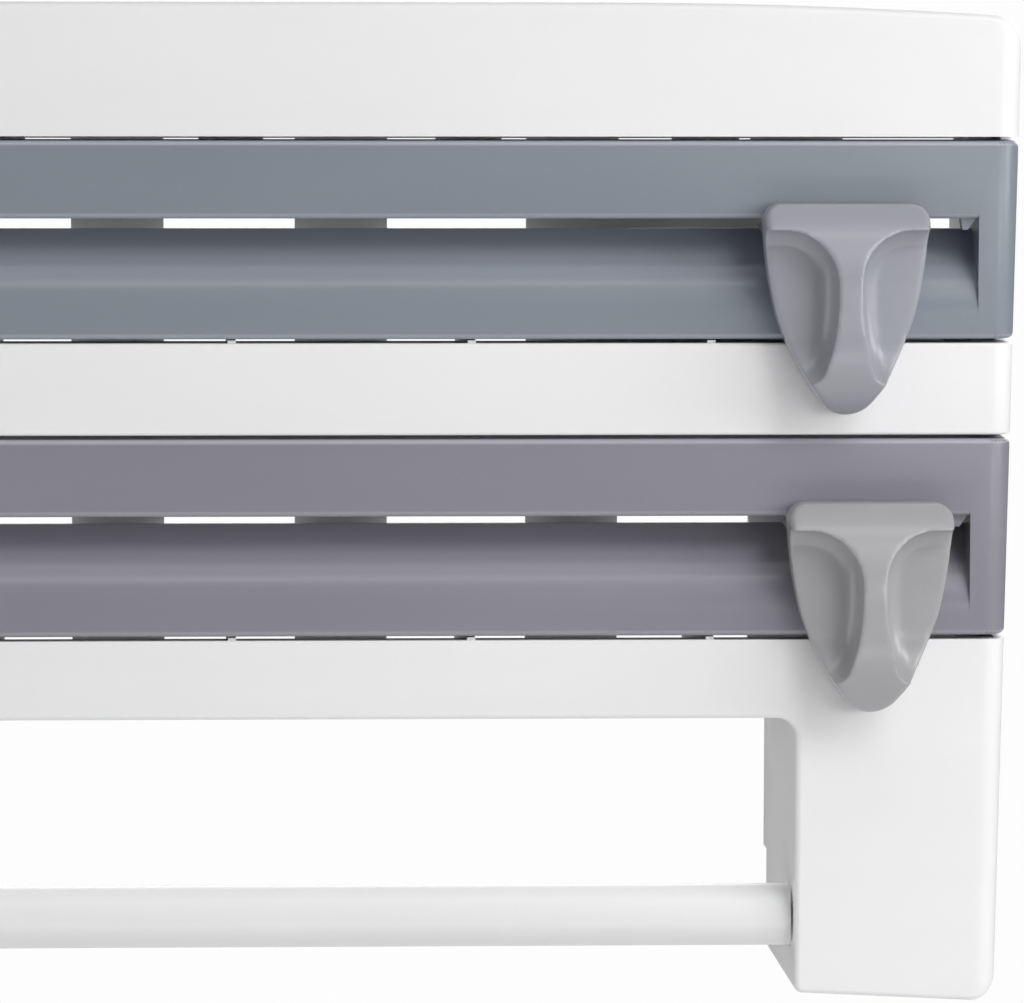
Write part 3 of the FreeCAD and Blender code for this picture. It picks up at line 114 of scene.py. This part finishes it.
def maths(tree, operation, first, second, clamp=False):
    """A Math node on two numbers or sockets, giving its output socket."""
    node = add_node(tree, "ShaderNodeMath", operation=operation, use_clamp=clamp)
    feed(tree, node.inputs[0], first)
    feed(tree, node.inputs[1], second)
    return node.outputs[0]


def noise(tree, place, scale, detail=2.0, roughness=0.5):
    """Noise on a place vector, giving its value socket."""
    node = add_node(tree, "ShaderNodeTexNoise")
    feed(tree, node.inputs["Vector"], place)
    feed(tree, node.inputs["Scale"], scale)
    feed(tree, node.inputs["Detail"], detail)
    feed(tree, node.inputs["Roughness"], roughness)
    return node.outputs["Fac"]


def spread(tree, value, low, high, to_low=0.0, to_high=1.0):
    """A value brought from one range into another, held inside it."""
    node = add_node(tree, "ShaderNodeMapRange", clamp=True)
    feed(tree, node.inputs["Value"], value)
    feed(tree, node.inputs["From Min"], low)
    feed(tree, node.inputs["From Max"], high)
    feed(tree, node.inputs["To Min"], to_low)
    feed(tree, node.inputs["To Max"], to_high)
    return node.outputs["Result"]


def stretched(tree, place, scale):
    """A place vector scaled along each axis."""
    node = add_node(tree, "ShaderNodeMapping", vector_type="POINT")
    feed(tree, node.inputs["Vector"], place)
    feed(tree, node.inputs["Scale"], scale)
    return node.outputs["Vector"]


def mixed(tree, share, first, second):
    """A mix of two colours, whose sockets come after those for numbers and vectors."""
    node = add_node(tree, "ShaderNodeMix", data_type="RGBA", clamp_factor=True)
    feed(tree, node.inputs[0], share)
    feed(tree, node.inputs[6], first)
    feed(tree, node.inputs[7], second)
    return node.outputs[2]


def bump(tree, height, distance, strength=1.0, under=None):
    """A Bump node, laid over another one if given."""
    node = add_node(tree, "ShaderNodeBump")
    feed(tree, node.inputs["Strength"], strength)
    feed(tree, node.inputs["Distance"], distance)
    feed(tree, node.inputs["Height"], height)
    if under is not None:
        feed(tree, node.inputs["Normal"], under)
    return node.outputs["Normal"]


def ray_mix(tree, kinds, share, plain, seen):
    """A mix of two shaders, the second one only for rays of the two kinds given."""
    path = add_node(tree, "ShaderNodeLightPath")
    ray = maths(tree, "MAXIMUM", path.outputs[kinds[0]], path.outputs[kinds[1]])
    node = add_node(tree, "ShaderNodeMixShader")
    feed(tree, node.inputs[0], maths(tree, "MULTIPLY", ray, share))
    feed(tree, node.inputs[1], plain)
    feed(tree, node.inputs[2], seen)
    return node.outputs[0]


def new_group(name, inputs, outputs):
    """A shader node group with named sockets, with its entry's outputs and its leave's inputs."""
    group = bpy.data.node_groups.new(name, "ShaderNodeTree")
    for socket_name, kind, value in inputs:
        socket = group.interface.new_socket(socket_name, in_out="INPUT", socket_type=kind)
        socket.default_value = value
    for socket_name, kind in outputs:
        group.interface.new_socket(socket_name, in_out="OUTPUT", socket_type=kind)
    entry = add_node(group, "NodeGroupInput")
    leave = add_node(group, "NodeGroupOutput")
    return group, entry.outputs, leave.inputs


def place_group(tree, group, **values):
    """A node group placed in a material, its inputs named with _ for a space."""
    node = add_node(tree, "ShaderNodeGroup", node_tree=group)
    for name, value in values.items():
        feed(tree, node.inputs[name.replace("_", " ")], value)
    return node.outputs


# Effects that several finishes share

def make_moulded_group():
    """Injection moulded plastic: flow marks, a fine grain and faint rubbed patches."""
    group, given, result = new_group("moulded_plastic", [
        ("Colour", "NodeSocketColor", (0.8, 0.8, 0.8, 1.0)),
        ("Flow colour", "NodeSocketColor", (0.75, 0.75, 0.75, 1.0)),
        ("Flow", "NodeSocketFloat", 0.5),
        ("Roughness", "NodeSocketFloat", 0.35),
        ("Rubbed roughness", "NodeSocketFloat", 0.25),
        ("Grain size", "NodeSocketFloat", 1500.0),
        ("Grain depth", "NodeSocketFloat", 1.0)],
        [("Colour", "NodeSocketColor"), ("Roughness", "NodeSocketFloat"),
         ("Height", "NodeSocketFloat")])
    place = add_node(group, "ShaderNodeTexCoord").outputs["Object"]

    flow_place = stretched(group, place, (0.35, 1.0, 1.6))
    flow = noise(group, flow_place, scale=26.0, detail=3.0, roughness=0.55)
    speck = noise(group, place, scale=900.0, detail=1.0)
    specks = maths(group, "MULTIPLY", spread(group, speck, 0.6, 0.78), SPECK_SHARE)
    marks = maths(group, "ADD", spread(group, flow, 0.36, 0.66), specks)
    share = maths(group, "MULTIPLY", marks, given["Flow"], clamp=True)
    feed(group, result["Colour"], mixed(group, share, given["Colour"], given["Flow colour"]))

    rub_place = stretched(group, place, (0.6, 1.4, 2.2))
    rub = noise(group, rub_place, scale=41.0, detail=5.0, roughness=0.65)
    rubbed = spread(group, rub, 0.5, 0.72)
    change = maths(group, "SUBTRACT", given["Rubbed roughness"], given["Roughness"])
    rubbing = maths(group, "MULTIPLY", rubbed, change)
    feed(group, result["Roughness"], maths(group, "ADD", given["Roughness"], rubbing, clamp=True))

    grain = noise(group, place, scale=given["Grain size"], detail=1.5)
    wave_place = stretched(group, place, (0.5, 1.0, 1.0))
    waves = noise(group, wave_place, scale=60.0, detail=1.0, roughness=0.4)
    grains = maths(group, "MULTIPLY", grain, given["Grain depth"])
    feed(group, result["Height"], maths(group, "ADD", grains, waves))
    return group


def make_scuff_group():
    """Fine hair scratches that lie mostly along one axis, as a mask and a height."""
    group, given, result = new_group("hair_scratches", [
        ("Along", "NodeSocketVector", (20.0, 900.0, 900.0)),
        ("Amount", "NodeSocketFloat", 0.4)],
        [("Mask", "NodeSocketFloat"), ("Height", "NodeSocketFloat")])
    place = add_node(group, "ShaderNodeTexCoord").outputs["Object"]
    drawn_out = add_node(group, "ShaderNodeVectorMath", operation="MULTIPLY")
    feed(group, drawn_out.inputs[0], place)
    feed(group, drawn_out.inputs[1], given["Along"])
    lines = noise(group, drawn_out.outputs[0], scale=1.0, roughness=0.6)
    hairs = spread(group, lines, 0.6, 0.68)
    patches = spread(group, noise(group, place, scale=55.0), 0.46, 0.62)
    scratches = maths(group, "MULTIPLY", hairs, patches)
    mask = maths(group, "MULTIPLY", scratches, given["Amount"], clamp=True)
    feed(group, result["Mask"], mask)
    feed(group, result["Height"], maths(group, "MULTIPLY", mask, -1.0))
    return group


def make_painted_highlight_group():
    """Painted highlights and painted top light, as a mask: lighter roundings where they look up or
    down, and a thin painted bloom of light where the surface looks up.
    """
    group, given, result = new_group("painted_highlight_roundings", [
        ("Above", "NodeSocketFloat", 0.8),
        ("Below", "NodeSocketFloat", 0.5),
        ("Painted top light", "NodeSocketFloat", 0.3)],
        [("Mask", "NodeSocketFloat")])
    rounding = add_node(group, "ShaderNodeAttribute", attribute_name="rounding").outputs["Fac"]
    facing = add_node(group, "ShaderNodeSeparateXYZ")
    feed(group, facing.inputs[0], add_node(group, "ShaderNodeTexCoord").outputs["Normal"])
    upward = facing.outputs["Z"]
    downward = maths(group, "MULTIPLY", upward, -1.0)
    above = maths(group, "MULTIPLY", spread(group, upward, 0.1, 0.5), given["Above"])
    below = maths(group, "MULTIPLY", spread(group, downward, 0.1, 0.5), given["Below"])
    # Painted highlight on the roundings that look up or down
    painted_highlight = maths(group, "MULTIPLY", maths(group, "ADD", above, below), rounding)
    # Painted top light: lighter where the surface looks up
    painted_top_light = maths(group, "MULTIPLY", spread(group, upward, 0.45, 0.7), given["Painted top light"])
    feed(group, result["Mask"], maths(group, "MAXIMUM", painted_highlight, painted_top_light))
    return group


MOULDED = make_moulded_group()
SCRATCHES = make_scuff_group()
# Mask of painted highlights and painted top light
PAINTED_HIGHLIGHTS = make_painted_highlight_group()


# Finishes

def shader_base(name):
    """A material with its tree, its Principled BSDF and its output's surface socket."""
    material = bpy.data.materials.new(name)
    material.use_nodes = True
    tree = material.node_tree
    tree.nodes.clear()
    surface = add_node(tree, "ShaderNodeBsdfPrincipled")
    leave = add_node(tree, "ShaderNodeOutputMaterial").inputs[0]
    feed(tree, leave, surface.outputs[0])
    return material, tree, surface, leave


def moulded(name, colour, flow_colour, flow, rough, rubbed, grain_size, grain_depth, depth,
            sheen=0.0, painted_highlight=None):
    """A moulded plastic finish with a few hair scratches, and a colour of painted highlight and
    painted top light on roundings and up-facing faces only if one is given.
    """
    material, tree, surface, _ = shader_base(name)
    body = place_group(tree, MOULDED, Colour=(*colour, 1), Flow_colour=(*flow_colour, 1),
                       Flow=flow, Roughness=rough, Rubbed_roughness=rubbed,
                       Grain_size=grain_size, Grain_depth=grain_depth)
    hair = place_group(tree, SCRATCHES, Along=HAIR_ALONG, Amount=HAIR_AMOUNT)
    paint = body["Colour"]
    # Paints highlights and top light into the colour, through the painted highlight mask
    if painted_highlight is not None:
        paint = mixed(tree, place_group(tree, PAINTED_HIGHLIGHTS)["Mask"], paint, (*painted_highlight, 1))
    grain = bump(tree, body["Height"], depth)
    relief = bump(tree, hair["Height"], HAIR_DEPTH, HAIR_STRENGTH, grain)
    feed(tree, surface.inputs["Base Color"], paint)
    feed(tree, surface.inputs["Roughness"], body["Roughness"])
    feed(tree, surface.inputs["Normal"], relief)
    feed(tree, surface.inputs["IOR"], PLASTIC_IOR)
    feed(tree, surface.inputs["Specular IOR Level"], PLASTIC_SPECULAR)
    feed(tree, surface.inputs["Coat Weight"], sheen)
    feed(tree, surface.inputs["Coat Roughness"], SHEEN_ROUGHNESS)
    return material


def brushed(name, colour, rough, along):
    """Steel with fine drawn lines."""
    material, tree, surface, _ = shader_base(name)
    hair = place_group(tree, SCRATCHES, Along=along, Amount=1.0)
    line_colour = [part * LINE_SHADE for part in colour]
    paint = mixed(tree, hair["Mask"], (*colour, 1), (*line_colour, 1))
    roughness = spread(tree, hair["Mask"], 0.0, 1.0, rough, rough + LINE_ROUGHNESS)
    feed(tree, surface.inputs["Base Color"], paint)
    feed(tree, surface.inputs["Roughness"], roughness)
    feed(tree, surface.inputs["Normal"], bump(tree, hair["Height"], LINE_DEPTH))
    feed(tree, surface.inputs["Metallic"], 1.0)
    return material


white_gloss = moulded(
    "white_gloss_shell", (0.86, 0.86, 0.865), (0.835, 0.835, 0.845), flow=0.5,
    rough=0.38, rubbed=0.32, grain_size=1500.0, grain_depth=0.25, depth=0.00001)
white_matt = moulded(
    "white_matt_inner", (0.82, 0.82, 0.825), (0.78, 0.78, 0.79), flow=0.6,
    rough=0.48, rubbed=0.4, grain_size=1300.0, grain_depth=1.0, depth=0.00002)
bar_white = moulded(
    "white_satin_bar", (0.84, 0.84, 0.84), (0.8, 0.8, 0.805), flow=0.5,
    rough=0.36, rubbed=0.3, grain_size=1500.0, grain_depth=0.5, depth=0.000012)
# The last colour of each grey front is its painted highlight and painted top light
blue_grey = moulded(
    "blue_grey_front", (0.222, 0.251, 0.291), (0.207, 0.235, 0.274), flow=0.6,
    rough=0.4, rubbed=0.35, grain_size=1250.0, grain_depth=1.0, depth=0.00002,
    sheen=0.35, painted_highlight=(0.4, 0.42, 0.49))
warm_grey = moulded(
    "warm_grey_front", (0.243, 0.239, 0.279), (0.228, 0.222, 0.26), flow=0.6,
    rough=0.4, rubbed=0.35, grain_size=1250.0, grain_depth=1.0, depth=0.00002,
    sheen=0.35, painted_highlight=(0.42, 0.41, 0.46))
blue_knob = moulded(
    "blue_grey_knob", (0.335, 0.342, 0.378), (0.315, 0.321, 0.357), flow=0.6,
    rough=0.38, rubbed=0.33, grain_size=1100.0, grain_depth=1.0, depth=0.00002, sheen=0.5)
warm_knob = moulded(
    "warm_grey_knob", (0.375, 0.375, 0.387), (0.355, 0.355, 0.367), flow=0.6,
    rough=0.38, rubbed=0.33, grain_size=1100.0, grain_depth=1.0, depth=0.00002, sheen=0.5)
slippery = moulded(
    "slippery_inner_plastic", (0.6, 0.61, 0.63), (0.56, 0.57, 0.6), flow=0.5,
    rough=0.3, rubbed=0.24, grain_size=1400.0, grain_depth=0.4, depth=0.000012)
blade_steel = brushed(
    "ground_blade_steel", (0.72, 0.72, 0.73), rough=0.22, along=(1400.0, 1400.0, 30.0))
screw_steel = brushed(
    "plated_screw_steel", (0.66, 0.66, 0.67), rough=0.3, along=(700.0, 700.0, 60.0))

FINISHES = {
    white_gloss: ("top_rack", "mid_band", "lower_frame", "left_side_panel", "right_side_panel",
                  "left_arm_cover", "right_arm_cover"),
    white_matt: ("back_panel", "upper_drawer_tray", "lower_drawer_tray", "bar_end_plug",
                 "bar_plunger"),
    bar_white: ("bar_tube",),
    blue_grey: ("upper_drawer_front",),
    warm_grey: ("lower_drawer_front",),
    blue_knob: ("upper_cutter_knob",),
    warm_knob: ("lower_cutter_knob",),
    slippery: ("upper_cutter_shoe", "lower_cutter_shoe", "bar_spring_seat"),
    blade_steel: ("upper_cutter_blade", "lower_cutter_blade"),
    screw_steel: ("rack_screws", "back_panel_screws", "band_screws", "frame_screws", "bar_spring",
                  "upper_tray_screws", "lower_tray_screws", "upper_cutter_screws",
                  "lower_cutter_screws"),
}
# Nodes that get a smooth copy, beside slot names that nothing reads. The others keep their own
# mesh.
SLOTS = {
    "top_rack": "white_shell", "mid_band": "white_shell", "lower_frame": "white_shell",
    "left_arm_cover": "white_shell", "right_arm_cover": "white_shell", "bar_tube": "white_shell",
    "upper_drawer_front": "grey_front", "lower_drawer_front": "grey_front",
    "upper_cutter_knob": "grey_knob", "lower_cutter_knob": "grey_knob",
    "upper_drawer_tray": "white_inner", "lower_drawer_tray": "white_inner",
    "bar_spring": "screw_steel",
}
SOFTENED = ("upper_cutter_knob", "lower_cutter_knob")
BODIES = frame["record"]["behaviour"]["bodies"]
BODY_OF = {node: body for body, nodes in BODIES.items() for node in nodes}


# Pieces

def new_object(name, data):
    """An object in the scene."""
    thing = bpy.data.objects.new(name, data)
    bpy.context.scene.collection.objects.link(thing)
    return thing


def give_finish(thing, material):
    """Gives a piece one finish all over."""
    thing.data.materials.clear()
    thing.data.materials.append(material)


def is_rounding(face):
    """True for the narrow strips that a small rounding is made of."""
    longest = max(edge.calc_length() for edge in face.edges)
    turns = [edge.calc_face_angle_signed(0.0) for edge in face.edges if len(edge.link_faces) == 2]
    narrow = face.calc_area() * 2.0 < longest * STRIP_WIDTH
    return narrow and any(STRIP_TURNS[0] < turn < STRIP_TURNS[1] for turn in turns)


def smooth_copy(node):
    """A copy of a node's mesh with its triangles joined and its rounded parts shaded smooth."""
    mesh = frame["nodes"][node].data.copy()
    shape = bmesh.new()
    shape.from_mesh(mesh)
    bmesh.ops.remove_doubles(shape, verts=shape.verts, dist=MERGE_ROOM)
    bmesh.ops.dissolve_degenerate(shape, dist=SLIVER, edges=shape.edges)
    # Marks the narrow rounding strips, where the grey fronts get a painted highlight
    rounding = shape.faces.layers.float.new("rounding")
    for face in shape.faces:
        face.smooth = True
        face[rounding] = 1.0 if is_rounding(face) else 0.0
    for edge in shape.edges:
        turn = edge.calc_face_angle(0.0) if len(edge.link_faces) == 2 else math.pi
        edge.smooth = turn < SHARP_TURN
    shape.to_mesh(mesh)
    shape.free()
    piece = new_object(f"{node}_smooth", mesh)
    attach(piece, BODY_OF[node])
    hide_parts(node)
    return piece


def soft_copy(node):
    """A copy of a knob whose ridges and rims are softened all over."""
    piece = smooth_copy(node)
    remesh = piece.modifiers.new("even_mesh", "REMESH")
    remesh.mode = "VOXEL"
    remesh.voxel_size = KNOB_VOXEL
    remesh.use_smooth_shade = True
    soften = piece.modifiers.new("soft_ridges", "SMOOTH")
    soften.factor = KNOB_SHARE
    soften.iterations = KNOB_ROUNDS
    return piece


def press_spring(spring):
    """Gives the hidden spring a mesh of its own."""
    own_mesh(spring)


for finish, nodes in FINISHES.items():
    for node in nodes:
        if node in SOFTENED:
            give_finish(soft_copy(node), finish)
        elif node in SLOTS:
            give_finish(smooth_copy(node), finish)
        else:
            for material_slot in frame["nodes"][node].material_slots:
                material_slot.material = finish

press_spring(bpy.data.objects["bar_spring_smooth"])


# Light, backdrop, floor and camera

def area_lamp(name, spot, aim, size, energy):
    """A rectangular soft box that looks at a point."""
    lamp = bpy.data.lights.new(name, "AREA")
    lamp.shape = "RECTANGLE"
    lamp.size, lamp.size_y = size
    lamp.energy = energy
    box = new_object(name, lamp)
    box.location = spot
    box.rotation_euler = (Vector(aim) - Vector(spot)).to_track_quat("-Z", "Y").to_euler()
    box.visible_camera = False


area_lamp("key_box", (0.66, -0.92, 0.83), (0.03, -0.05, -0.03), (0.5, 0.5), 5.3)
area_lamp("right_box", (1.12, -0.6, 0.32), (0.08, -0.05, -0.05), (0.6, 0.7), 6.0)
area_lamp("glow_box", (0.62, -1.05, 0.03), (0.1, -0.06, -0.05), (0.6, 0.24), 2.1)
area_lamp("top_strip", (0.05, -0.6, 1.1), (0.0, -0.05, -0.02), (1.4, 0.12), 2.6)
area_lamp("low_strip", (0.0, -0.85, -0.55), (0.0, -0.04, -0.05), (1.3, 0.12), 1.0)
area_lamp("left_box", (-1.35, -0.46, -0.1), (0.0, 0.0, -0.1), (0.8, 0.9), 3.6)
area_lamp("backdrop_box", (0.0, 1.3, 0.5), (0.0, 0.0, -0.05), (2.4, 0.9), 16.0)


def make_world():
    """Faint light from all round, and a pale backdrop for what looks past the object."""
    world = bpy.data.worlds.new("studio")
    bpy.context.scene.world = world
    world.use_nodes = True
    tree = world.node_tree
    tree.nodes.clear()
    light = add_node(tree, "ShaderNodeBackground")
    feed(tree, light.inputs["Color"], (1.0, 1.0, 1.0, 1.0))
    feed(tree, light.inputs["Strength"], LIGHT_FROM_ALL_ROUND)
    backdrop = add_node(tree, "ShaderNodeBackground")
    feed(tree, backdrop.inputs["Color"], BACKDROP)
    sky = ray_mix(tree, ("Is Camera Ray", "Is Transmission Ray"), 1.0,
                  light.outputs[0], backdrop.outputs[0])
    feed(tree, add_node(tree, "ShaderNodeOutputWorld").inputs[0], sky)


def make_floor():
    """A plain floor, shown paler than it lights the object."""
    shape = bmesh.new()
    bmesh.ops.create_grid(shape, x_segments=1, y_segments=1, size=FLOOR_HALF)
    bmesh.ops.translate(shape, verts=shape.verts, vec=(0.0, 0.0, FLOOR_LEVEL))
    mesh = bpy.data.meshes.new("studio_floor")
    shape.to_mesh(mesh)
    shape.free()
    floor = new_object("studio_floor", mesh)
    paint, tree, surface, leave = shader_base("pale_floor")
    feed(tree, surface.inputs["Base Color"], FLOOR_PAINT)
    feed(tree, surface.inputs["Roughness"], FLOOR_ROUGHNESS)
    glow = add_node(tree, "ShaderNodeEmission")
    feed(tree, glow.inputs["Color"], FLOOR_SEEN)
    feed(tree, leave, ray_mix(tree, ("Is Camera Ray", "Is Glossy Ray"), FLOOR_SEEN_SHARE,
                              surface.outputs[0], glow.outputs[0]))
    give_finish(floor, paint)


make_world()
make_floor()

camera = new_object("photo_camera", bpy.data.cameras.new("photo_camera"))
camera.data.sensor_fit = "HORIZONTAL"
camera.data.sensor_width = SENSOR
camera.data.lens = LENS
camera.data.shift_x = SHIFT
camera.location = CAMERA_SPOT
turn_down = Matrix.Rotation(math.pi / 2 - PITCH, 3, "X")
camera.rotation_euler = (Matrix.Rotation(-YAW, 3, "Z") @ turn_down
                         @ Matrix.Rotation(ROLL, 3, "Z")).to_euler()
bpy.context.scene.camera = camera
bpy.context.scene.view_settings.view_transform = "Standard"
